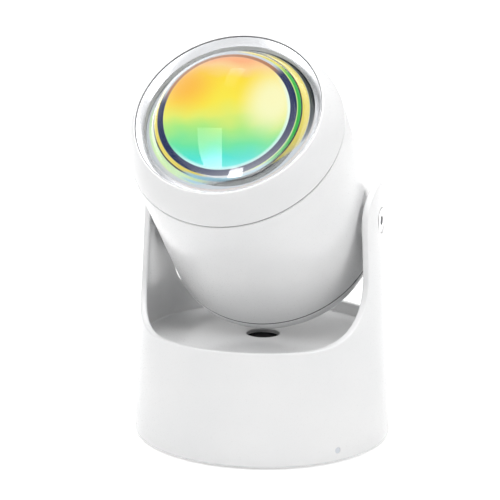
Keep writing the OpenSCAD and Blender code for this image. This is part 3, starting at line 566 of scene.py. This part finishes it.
bore = bmesh.new()
lathe_into(bore, [(0, SCREW_SEAT_X), (SCREW_BORE_R, SCREW_SEAT_X), (SCREW_BORE_R, SCREW_SEAT_X + FAR),
                  (0, SCREW_SEAT_X + FAR)], PIVOT_PLACE @ ALONG_X, 64, closed=False)
cut(housing, bore)
hole = bmesh.new()
status_place = (Matrix.Translation((0, 0, STATUS_Z))
                @ STATUS_OUT.to_track_quat("Z", "Y").to_matrix().to_4x4())
lathe_into(hole, [(0, BASE_R - FAR), (STATUS_R, BASE_R - FAR), (STATUS_R, BASE_R + FAR),
                  (0, BASE_R + FAR)], status_place, 32, closed=False)
cut(housing, hole)
rear_face = Matrix.Translation((0, 0, INLET_Z)) @ Matrix.Rotation(-math.pi / 2, 4, "X")
for width, height, start in ((9.5 * MM, 3.8 * MM, INLET_LOW.y),
                             (12.4 * MM, 6.8 * MM, outer_r(INLET_Z) - 1 * MM)):
    slot = bmesh.new()
    add_rounded_slot(slot, width, height, rear_face @ Matrix.Translation((0, 0, start)), 3 * FAR)
    cut(housing, slot)

# What stands inside the shell: pivot pads, screw posts and board posts
finished = bmesh.new()
finished.from_mesh(housing.data)
for side in (0, math.pi):
    lathe_into(finished, rounded([(0.01 * MM, EAR_IN_X + 0.8 * MM), (PAD_R, EAR_IN_X + 0.8 * MM),
                                  (PAD_R, EAR_PAD_X, 0.3 * MM), (0.01 * MM, EAR_PAD_X)], 0),
               PIVOT_PLACE @ Matrix.Rotation(side, 4, "Z") @ ALONG_X, 64)
COVER_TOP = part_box("bottom_cover")[1].z
BOARD_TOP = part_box("control_board")[1].z
POST_R, BOARD_POST_R, THREAD_R = 4.0 * MM, 3.85 * MM, 1.15 * MM
COVER_HEAD_R = 2.2 * MM
COVER_SCREW_ANGLES = (20, 160, 270)
BOARD_POST_X, BOARD_POST_Y = 24 * MM, 16 * MM
post_c = -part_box("cover_screws")[0].y - COVER_HEAD_R
posts = [(post_c * math.cos(math.radians(a)), post_c * math.sin(math.radians(a)), COVER_TOP, POST_R)
         for a in COVER_SCREW_ANGLES]
posts += [(sx * BOARD_POST_X, sy * BOARD_POST_Y, BOARD_TOP, BOARD_POST_R)
          for sx in (1, -1) for sy in (1, -1)]
for x, y, z, r in posts:
    lathe_into(finished, [(THREAD_R, z), (r, z), (r, DECK_Z - DECK_T), (THREAD_R, DECK_Z - DECK_T)],
               Matrix.Translation((x, y, 0)), 32)
old_mesh = housing.data
bpy.data.objects.remove(housing)
bpy.data.meshes.remove(old_mesh)
housing = finish_mesh("housing_shell", finished, WHITE, "base", sharp=33)

# ---------------------------------------------------------------------------------------------
# Barrel, bezel and rear cap: turned shells
# ---------------------------------------------------------------------------------------------

barrel = lathe("barrel_shell", rounded([
    (BARREL_REAR_R, BARREL_REAR, SEAM_R), (BARREL_FRONT_R, BARREL_FRONT, SEAM_R),
    (BARREL_FRONT_R - BARREL_WALL, BARREL_FRONT, 0.1 * MM),
    (BARREL_REAR_R - BARREL_WALL, BARREL_REAR, 0.1 * MM)], SEAM_R), HEAD_PLACE, WHITE, "head")


LENS_FRONT = BEZEL_FRONT - BEVEL_DEPTH - LENS_SET_BACK
LENS_SHADE = 0.4 * MM    # height of the painted shadow line where the bore meets the lens


def bezel_outline():
    """The front ring: seam edge, bulging side, front edge, bevel, bore and back."""
    back_s = BARREL_FRONT + SEAM_GAP
    chord = Vector((BEZEL_EDGE_R - BARREL_FRONT_R, BEZEL_FRONT - BARREL_FRONT))
    outward = Vector((-chord.y, chord.x)).normalized() * -1
    side = []
    steps = 14
    for k in range(steps + 1):
        t = k / steps
        point = Vector((BARREL_FRONT_R, BARREL_FRONT)) + chord * t
        point = point + outward * (BEZEL_BULGE * 4 * t * (1 - t))
        if point.y >= back_s:
            side.append((point.x, point.y, 0))
    first = Vector((BARREL_FRONT_R, BARREL_FRONT)) + chord * (SEAM_GAP / chord.y)
    side[0] = (first.x, back_s, SEAM_R)
    side[-1] = (BEZEL_EDGE_R, BEZEL_FRONT, 0.35 * MM)
    bore_r = BEZEL_EDGE_R - BEVEL_W
    groove = 0.28 * MM
    return side + [
        (BEZEL_EDGE_R - 0.45 * MM, BEZEL_FRONT - 0.05 * MM, 0.05 * MM),
        (BEZEL_EDGE_R - 0.5 * MM, BEZEL_FRONT - 0.6 * MM, 0),
        (BEZEL_EDGE_R - 0.5 * MM - groove, BEZEL_FRONT - 0.6 * MM, 0),
        (BEZEL_EDGE_R - 0.5 * MM - groove, BEZEL_FRONT - 0.35 * MM, 0.1 * MM),
        (bore_r, BEZEL_FRONT - BEVEL_DEPTH, 0.2 * MM),
        (bore_r, LENS_FRONT + LENS_SHADE, 0),
        (bore_r, LENS_FRONT, 0),
        (LENS_R + 0.15 * MM, LENS_FRONT, 0),
        (LENS_R + 0.15 * MM, BEZEL_BACK, 0),
        (LENS_R + 4 * MM, BEZEL_BACK, 0),
        (LENS_R + 4 * MM, back_s, 0)]


bevel = metal("bevel_silver", (0.70, 0.71, 0.73), (0.80, 0.81, 0.83), 0.18, 0.28)
groove_painted_shade = plastic("groove_painted_shade", (0.26, 0.26, 0.27), (0.32, 0.32, 0.33), 0.5, 0.6)
bezel = lathe("bezel_ring", rounded(bezel_outline(), 0), HEAD_PLACE,
              [WHITE, bevel.material, groove_painted_shade.material], "head", segments=200)
# Painted shade: the groove behind the front edge and a thin band of the bore by the lens take the dark grey
for face in bezel.data.polygons:
    middle = HEAD_PLACE.inverted() @ face.center
    r = math.hypot(middle.x, middle.y)
    inside = r < BEZEL_EDGE_R - 0.45 * MM
    on_lip = inside and r > BEZEL_EDGE_R - 0.8 * MM and middle.z < BEZEL_FRONT - 0.1 * MM
    if on_lip or (inside and LENS_FRONT < middle.z < LENS_FRONT + LENS_SHADE):
        face.material_index = 2
    elif inside and middle.z > BEZEL_FRONT - BEVEL_DEPTH:
        face.material_index = 1


def cap_outline():
    flat = BARREL_REAR_R * CAP_FLAT
    start = BARREL_REAR - SEAM_GAP
    drop = start - CAP_REAR
    steps = 36
    outer = [(BARREL_REAR_R, start, SEAM_R)]
    for k in range(1, steps + 1):
        a = math.pi / 2 * k / steps
        outer.append((flat + (BARREL_REAR_R - flat) * math.cos(a), start - drop * math.sin(a), 0))
    outer.append((0, CAP_REAR, 0))
    inner = [(0, CAP_REAR + CAP_WALL, 0)]
    for k in range(steps, -1, -1):
        a = math.pi / 2 * k / steps
        inner.append((flat + (BARREL_REAR_R - CAP_WALL - flat) * math.cos(a),
                      start - (drop - CAP_WALL) * math.sin(a), 0))
    return outer + inner


cap = lathe("cap_shell", rounded(cap_outline(), 0), HEAD_PLACE, WHITE, "head")


def barrel_r(station):
    share = (station - BARREL_REAR) / (BARREL_FRONT - BARREL_REAR)
    return BARREL_REAR_R + (BARREL_FRONT_R - BARREL_REAR_R) * share


# Painted shade: a dark band and a grey band on the spigots inside the two open seams, where their shade
# falls
seam_painted_shadow = plastic("seam_painted_shadow", (0.035, 0.035, 0.037), (0.05, 0.05, 0.052), 0.6, 0.75)
seam_painted_shade = plastic("seam_painted_shade", (0.16, 0.16, 0.165), (0.20, 0.20, 0.205), 0.6, 0.75)
for name, low, depth, shade in (("rear_seam_shadow", BARREL_REAR - SEAM_GAP, 0.1 * MM, seam_painted_shadow),
                                ("front_seam_shade", BARREL_FRONT, 0.35 * MM, seam_painted_shade)):
    r = barrel_r(low + SEAM_GAP / 2) - depth
    outline = [(r, low - 0.1 * MM), (r, low + SEAM_GAP + 0.1 * MM),
               (r - 1 * MM, low + SEAM_GAP + 0.1 * MM), (r - 1 * MM, low - 0.1 * MM)]
    lathe(name, outline, HEAD_PLACE, shade.material, "head", segments=192)

# The barrel's own pads, which the friction washers turn against
WASHER_SPACE = 0.62 * MM
PAD_ROOT_X = 35 * MM
BARREL_PAD_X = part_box("friction_washers")[1].x - WASHER_SPACE
pads = bmesh.new()
for side in (0, math.pi):
    lathe_into(pads, rounded([(0.01 * MM, PAD_ROOT_X), (PAD_R, PAD_ROOT_X), (PAD_R, BARREL_PAD_X, 0.3 * MM),
                              (0.01 * MM, BARREL_PAD_X)], 0),
               PIVOT_PLACE @ Matrix.Rotation(side, 4, "Z") @ ALONG_X, 64)
barrel_pads = finish_mesh("barrel_pads", pads, WHITE, "head")

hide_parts("base_housing")
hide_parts("head_barrel")
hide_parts("front_bezel")
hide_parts("rear_cap")

# ---------------------------------------------------------------------------------------------
# Lens and the coloured filter behind it
# ---------------------------------------------------------------------------------------------

DOME_R = BEZEL_EDGE_R - BEVEL_W - 0.15 * MM
DOME_H = LENS_APEX - LENS_FRONT
DOME_SPHERE = (DOME_R ** 2 + DOME_H ** 2) / (2 * DOME_H)

glass = Shade("lens_glass")
glass.set(Roughness=0.0, IOR=1.5)
glass.shader.inputs["Transmission Weight"].default_value = 1.0
# An anti-reflective coating: no mirroring straight on, more at a slant
glass.shader.inputs["Specular Tint"].default_value = (0, 0, 0, 1)
glass.link(glass.ramp(glass.noise(20), [(0.3, (0.98, 0.99, 1.0)), (0.7, (1.0, 1.0, 1.0))]),
           glass.shader.inputs["Base Color"])


def lens_outline():
    outline = [(0, LENS_BACK), (LENS_R, LENS_BACK), (LENS_R, LENS_FRONT - 0.05 * MM),
               (DOME_R, LENS_FRONT)]
    steps = 60
    edge = math.asin(DOME_R / DOME_SPHERE)
    centre = LENS_APEX - DOME_SPHERE
    for k in range(1, steps):
        a = edge * (1 - k / steps)
        outline.append((DOME_SPHERE * math.sin(a), centre + DOME_SPHERE * math.cos(a)))
    outline.append((0, LENS_APEX))
    return outline


lens = lathe("lens_dome", lens_outline(), HEAD_PLACE, glass.material, "head",
             segments=256, closed=False, sharp=30)
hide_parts("lens")

film = Shade("filter_film")
FILTER_BACK, FILTER_FRONT = span("colour_filter")
FILTER_R = radius_at("colour_filter", FILTER_FRONT)

disc_bm = bmesh.new()
lathe_into(disc_bm, [(0, FILTER_BACK), (FILTER_R, FILTER_BACK), (FILTER_R, FILTER_FRONT), (0, FILTER_FRONT)],
           HEAD_PLACE, 128, closed=False)
disc = finish_mesh("filter_disc", disc_bm, film.material, "head")
uv = disc.data.uv_layers.new(name="disc")       # millimetres across the disc
back = HEAD_PLACE.inverted()
for loop in disc.data.loops:
    p = back @ disc.data.vertices[loop.vertex_index].co
    uv.data[loop.index].uv = (p.x / MM, p.y / MM)
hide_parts("colour_filter")


def math_node(kind, a, b=None):
    made = film.node("ShaderNodeMath", operation=kind)
    for slot, value in zip(made.inputs, (a, b)):
        if value is None:
            continue
        if isinstance(value, (int, float)):
            slot.default_value = value
        else:
            film.link(value, slot)
    return made.outputs[0]


def fade(value, start, end):
    """0 at start, 1 at end, with a soft run."""
    made = film.node("ShaderNodeMapRange", interpolation_type="SMOOTHSTEP")
    made.inputs["From Min"].default_value = start
    made.inputs["From Max"].default_value = end
    film.link(value, made.inputs["Value"])
    return made.outputs["Result"]


def mixed(factor, below, above):
    made = film.node("ShaderNodeMix", data_type="RGBA")
    for slot, value in ((0, factor), (6, below), (7, above)):
        if isinstance(value, tuple):
            made.inputs[slot].default_value = (*value, 1)
        else:
            film.link(value, made.inputs[slot])
    return made.outputs[2]


def distance_to(x, y, cx, cy, stretch=1.0):
    """Distance in millimetres from a point of the disc, with Y stretched."""
    dx, dy = math_node("SUBTRACT", x, cx), math_node("SUBTRACT", y, cy)
    dy = math_node("MULTIPLY", dy, stretch)
    return math_node("SQRT", math_node("ADD", math_node("MULTIPLY", dx, dx), math_node("MULTIPLY", dy, dy)))


split = film.node("ShaderNodeSeparateXYZ")
film.link(film.coord.outputs["UV"], split.inputs["Vector"])
x, y = split.outputs["X"], split.outputs["Y"]

# Slow waves bend the bands of the disc
waves = film.node("ShaderNodeTexNoise")
waves.inputs["Scale"].default_value = 0.11
waves.inputs["Detail"].default_value = 1.5
film.link(film.coord.outputs["UV"], waves.inputs["Vector"])
wave = math_node("MULTIPLY", math_node("SUBTRACT", waves.outputs["Fac"], 0.5), 7.0)
tilt = math_node("MULTIPLY", x, -0.10)
level = math_node("ADD", math_node("ADD", y, wave), tilt)

BRIGHT_R = 17.0
BRIGHT_X, BRIGHT_Y = -1.0, 0.9
along = fade(level, -17.0, 17.0)
along.node.interpolation_type = "LINEAR"
colours = film.ramp(along, [
    (0.00, (0.10, 0.90, 0.88)), (0.14, (0.02, 0.77, 0.64)), (0.27, (0.13, 0.79, 0.35)),
    (0.42, (0.40, 0.84, 0.22)), (0.53, (0.80, 0.86, 0.15)), (0.66, (0.97, 0.82, 0.07)),
    (0.84, (1.00, 0.74, 0.05)), (0.93, (1.00, 0.66, 0.28)), (1.00, (1.00, 0.45, 0.20))])
orange = fade(distance_to(x, y, -13.0, 8.5), 10.0, 1.0)
colours = mixed(math_node("MULTIPLY", orange, 0.8), colours, (1.0, 0.46, 0.06))
# Painted light: a pale bright patch on the right of the disc's colours
pale = fade(distance_to(x, y, 10.0, 6.0, 0.8), 10.0, 2.0)
colours = mixed(math_node("MULTIPLY", pale, 0.85), colours, (0.98, 0.98, 0.60))

# Painted highlight on one side of the disc's rim, and rings of painted reflection and shade outside it
radius = distance_to(x, y, BRIGHT_X, BRIGHT_Y)
rim = math_node("MULTIPLY", fade(radius, BRIGHT_R - 1.3, BRIGHT_R - 0.3), 0.75)
rim_side = fade(math_node("SUBTRACT", x, y), -8.0, 8.0)
colours = mixed(math_node("MULTIPLY", rim, rim_side), colours, (0.75, 1.0, 1.0))
cos_a = math_node("DIVIDE", math_node("SUBTRACT", x, BRIGHT_X), radius)
sin_a = math_node("DIVIDE", math_node("SUBTRACT", y, BRIGHT_Y), radius)


def sector(angle, half_width, soft=16):
    """1 within an angle's sector of the disc, in degrees from +X, with soft sides."""
    ca, sa = math.cos(math.radians(angle)), math.sin(math.radians(angle))
    along_it = math_node("ADD", math_node("MULTIPLY", cos_a, ca), math_node("MULTIPLY", sin_a, sa))
    return fade(along_it, math.cos(math.radians(half_width + soft)), math.cos(math.radians(half_width)))


def band(inner, outer, soft=0.1):
    """1 between two radii around the bright disc."""
    return math_node("MULTIPLY", fade(radius, inner - soft, inner + soft),
                     fade(radius, outer + soft, outer - soft))


EDGE_REFLECTION_PALE = (0.62, 0.67, 0.71)
NAVY = (0.002, 0.015, 0.09)
SHADOW_BLACK = (0.01, 0.015, 0.02)
LIME = (0.60, 0.90, 0.25)
GREEN = (0.03, 0.50, 0.06)
YELLOW = (0.85, 0.72, 0.12)
MINT = (0.65, 0.90, 0.50)
AQUA = (0.35, 0.65, 0.80)
RUST = (0.45, 0.18, 0.07)
# Painted reflections and shadows of the lens's edge and bore, as rings around the disc: inner and outer
# radius in mm, colour, and the side on which each shows, as an angle from +X and a half width in degrees
PAINTED_EDGE_RINGS = [
    (17.0, 18.2, RUST, 110, 50),
    (17.0, 19.2, NAVY, 290, 118),
    (19.2, 20.5, YELLOW, 210, 42),
    (20.5, 21.0, SHADOW_BLACK, 215, 45),
    (21.1, 23.5, MINT, 220, 35),
    (19.9, 21.2, AQUA, 285, 30),
    (22.2, 23.2, AQUA, 290, 35),
    (19.2, 20.5, YELLOW, 62, 20),
    (20.5, 21.5, SHADOW_BLACK, 62, 20),
    (19.2, 19.5, LIME, 5, 55),
    (19.5, 20.6, GREEN, 5, 40),
    (20.6, 21.1, SHADOW_BLACK, 5, 60),
    (21.1, 23.8, YELLOW, 15, 50),
    (24.0, 30.0, SHADOW_BLACK, 5, 60)]
rings = EDGE_REFLECTION_PALE
for inner, outer, colour, angle, half_width in PAINTED_EDGE_RINGS:
    shows = math_node("MULTIPLY", band(inner, outer), sector(angle, half_width))
    rings = mixed(shows, rings, colour)
lit = mixed(fade(radius, BRIGHT_R - 0.12, BRIGHT_R + 0.12), colours, rings)
film.link(lit, film.shader.inputs["Emission Color"])
film.set(Emission_Strength=1.0, Roughness=0.4, IOR=1.0)
film.shader.inputs["Base Color"].default_value = (0.002, 0.002, 0.002, 1)

# ---------------------------------------------------------------------------------------------
# Camera, floor and light
# ---------------------------------------------------------------------------------------------

# The photograph's camera, found from the outlines of base, ears and head
CAMERA_AZ = math.radians(16.78)
CAMERA_DISTANCE = 514.7 * MM
CAMERA_HEIGHT = 173.95 * MM
CAMERA_YAW = math.radians(0.541)
CAMERA_PITCH = math.radians(12.03)
CAMERA_ROLL = math.radians(0.561)
FOCAL_PIXELS = 1517.2
PHOTO_PIXELS = 500
SENSOR_WIDTH = 36.0

camera_data = bpy.data.cameras.new("photo_camera")
camera_data.sensor_width = SENSOR_WIDTH
camera_data.lens = FOCAL_PIXELS / PHOTO_PIXELS * SENSOR_WIDTH
camera_data.clip_start = 0.01
camera = bpy.data.objects.new("photo_camera", camera_data)
bpy.context.scene.collection.objects.link(camera)
heading = CAMERA_AZ + CAMERA_YAW
forward = Vector((-math.sin(heading) * math.cos(CAMERA_PITCH),
                  math.cos(heading) * math.cos(CAMERA_PITCH), -math.sin(CAMERA_PITCH)))
right = Vector((math.cos(heading), math.sin(heading), 0))
up = right.cross(forward)
axis_x = right * math.cos(CAMERA_ROLL) + up * math.sin(CAMERA_ROLL)
axis_y = up * math.cos(CAMERA_ROLL) - right * math.sin(CAMERA_ROLL)
turn = Matrix((axis_x, axis_y, -forward)).transposed().to_4x4()
camera.matrix_world = Matrix.Translation((
    CAMERA_DISTANCE * math.sin(CAMERA_AZ), -CAMERA_DISTANCE * math.cos(CAMERA_AZ),
    CAMERA_HEIGHT)) @ turn
bpy.context.scene.camera = camera


def seen_ray(tree):
    """1 for rays that show the backdrop itself: to the camera, in a reflection and through glass."""
    paths = tree.nodes.new("ShaderNodeLightPath")
    result = paths.outputs["Is Camera Ray"]
    for kind in ("Is Glossy Ray", "Is Transmission Ray"):
        most = tree.nodes.new("ShaderNodeMath")
        most.operation = "MAXIMUM"
        tree.links.new(result, most.inputs[0])
        tree.links.new(paths.outputs[kind], most.inputs[1])
        result = most.outputs[0]
    return result


FLOOR_GLOW = 0.55       # what lifts the floor to white beside the lamp, where its shadow falls
FLOOR_GLOW_FAR = 1.0    # the same far from it
FLOOR_NEAR, FLOOR_FAR = 0.12, 0.55

floor_shade = Shade("pale_floor")
floor_shade.set(Roughness=0.8)
floor_tint = floor_shade.ramp(floor_shade.noise(3), [(0.3, (0.78, 0.78, 0.78)), (0.7, (0.80, 0.80, 0.80))])
floor_shade.link(floor_tint, floor_shade.shader.inputs["Base Color"])
floor_shade.shader.inputs["Specular IOR Level"].default_value = 0.1
glow = floor_shade.node("ShaderNodeEmission")
length = floor_shade.node("ShaderNodeVectorMath", operation="LENGTH")
floor_shade.link(floor_shade.coord.outputs["Object"], length.inputs[0])
rise = floor_shade.node("ShaderNodeMapRange")
for key, value in (("From Min", FLOOR_NEAR), ("From Max", FLOOR_FAR), ("To Min", FLOOR_GLOW),
                   ("To Max", FLOOR_GLOW_FAR)):
    rise.inputs[key].default_value = value
floor_shade.link(length.outputs["Value"], rise.inputs["Value"])
strength = floor_shade.node("ShaderNodeMath", operation="MULTIPLY")
floor_shade.link(seen_ray(floor_shade.tree), strength.inputs[0])
floor_shade.link(rise.outputs["Result"], strength.inputs[1])
floor_shade.link(strength.outputs[0], glow.inputs["Strength"])
both = floor_shade.node("ShaderNodeAddShader")
floor_shade.link(floor_shade.shader.outputs[0], both.inputs[0])
floor_shade.link(glow.outputs[0], both.inputs[1])
floor_shade.link(both.outputs[0], floor_shade.tree.nodes["Material Output"].inputs["Surface"])
floor_bm = bmesh.new()
bmesh.ops.create_grid(floor_bm, x_segments=4, y_segments=4, size=20.0)
floor_mesh = bpy.data.meshes.new("floor")
floor_bm.to_mesh(floor_mesh)
floor_bm.free()
floor = bpy.data.objects.new("floor", floor_mesh)
bpy.context.scene.collection.objects.link(floor)
floor_mesh.materials.append(floor_shade.material)


# The softboxes leave the lens out, because the dome would mirror each one over the disc's colours
all_but_lens = bpy.data.collections.new("all_but_lens")
all_but_lens.objects.link(lens)
all_but_lens.collection_objects[0].light_linking.link_state = "EXCLUDE"


only_lens = bpy.data.collections.new("only_lens")
only_lens.objects.link(lens)


def softbox(name, place, target, width, height, power, receivers=all_but_lens):
    data = bpy.data.lights.new(name, "AREA")
    data.shape = "RECTANGLE"
    data.size, data.size_y = width, height
    data.energy = power
    lamp = bpy.data.objects.new(name, data)
    lamp.matrix_world = (Matrix.Translation(place)
                         @ (Vector(place) - Vector(target)).to_track_quat("Z", "Y").to_matrix().to_4x4())
    bpy.context.scene.collection.objects.link(lamp)
    lamp.light_linking.receiver_collection = receivers
    lamp.visible_camera = False
    return lamp


TARGET = (0, 0, 0.07)


def from_side(azimuth, elevation, distance):
    """A place around the lamp: azimuth 0 is the front (-Y), positive towards +X, in degrees."""
    az, el = math.radians(azimuth), math.radians(elevation)
    return (distance * math.cos(el) * math.sin(az), -distance * math.cos(el) * math.cos(az),
            TARGET[2] + distance * math.sin(el))


softbox("top", from_side(0, 88, 1.5), TARGET, 1.4, 1.4, 24)
softbox("front_right", from_side(20, 50, 1.8), TARGET, 1.2, 1.2, 6.6)
softbox("front_left", from_side(-40, 50, 1.8), TARGET, 1.2, 1.2, 4.6)
softbox("right", from_side(75, 25, 1.8), TARGET, 1.2, 0.9, 11.5)
softbox("left", from_side(-55, 20, 1.8), TARGET, 1.2, 0.9, 8.0)

# A panel overhead that only the lens mirrors, off its flat back
softbox("panel_overhead", (-0.165, 0.09, 1.1), (0, 0.09, 0.07), 0.56, 0.2, 1.1, only_lens)

world = bpy.data.worlds.new("studio")
world.use_nodes = True
bpy.context.scene.world = world
sky = world.node_tree.nodes["Background"]
sky.inputs["Color"].default_value = (0.95, 0.96, 0.97, 1)
sky.inputs["Strength"].default_value = 0.03
white = world.node_tree.nodes.new("ShaderNodeBackground")
white.inputs["Color"].default_value = (1, 1, 1, 1)
white.inputs["Strength"].default_value = 1.0
choose = world.node_tree.nodes.new("ShaderNodeMixShader")
world.node_tree.links.new(seen_ray(world.node_tree), choose.inputs["Fac"])
world.node_tree.links.new(sky.outputs[0], choose.inputs[1])
world.node_tree.links.new(white.outputs[0], choose.inputs[2])
world.node_tree.links.new(choose.outputs[0], world.node_tree.nodes["World Output"].inputs["Surface"])

bpy.context.scene.view_settings.view_transform = "Standard"
